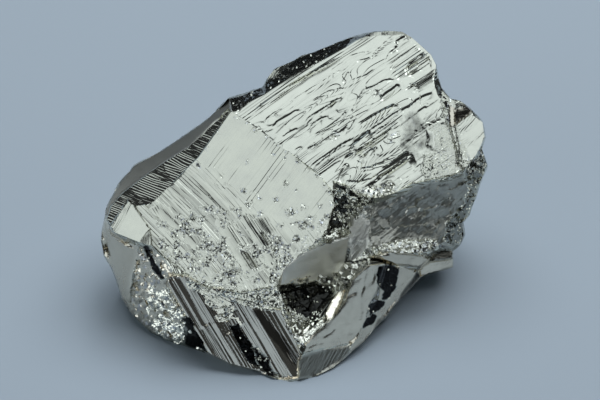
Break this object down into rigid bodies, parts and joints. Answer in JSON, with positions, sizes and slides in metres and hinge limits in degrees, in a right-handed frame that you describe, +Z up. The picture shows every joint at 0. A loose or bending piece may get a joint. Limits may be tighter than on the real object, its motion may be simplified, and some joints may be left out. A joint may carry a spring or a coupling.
{
  "type": "pyrite specimen",
  "caption": "Lump of intergrown pyrite crystals with flat striated faces, stepped flanks and broken hollows, resting on a flat face.",
  "frame": {"origin": "middle of the lump's bounding box at the flat face that it rests on", "axes": "+Z up, -Y towards the front corner where the two large bright faces are seen, +X to the right"},
  "size_m": [0.0508, 0.0414, 0.0277],
  "materials": {
    "pyrite": "polished"
  },
  "bodies": {
    "root": {"pyrite": "pyrite"}
  },
  "joints": []
}
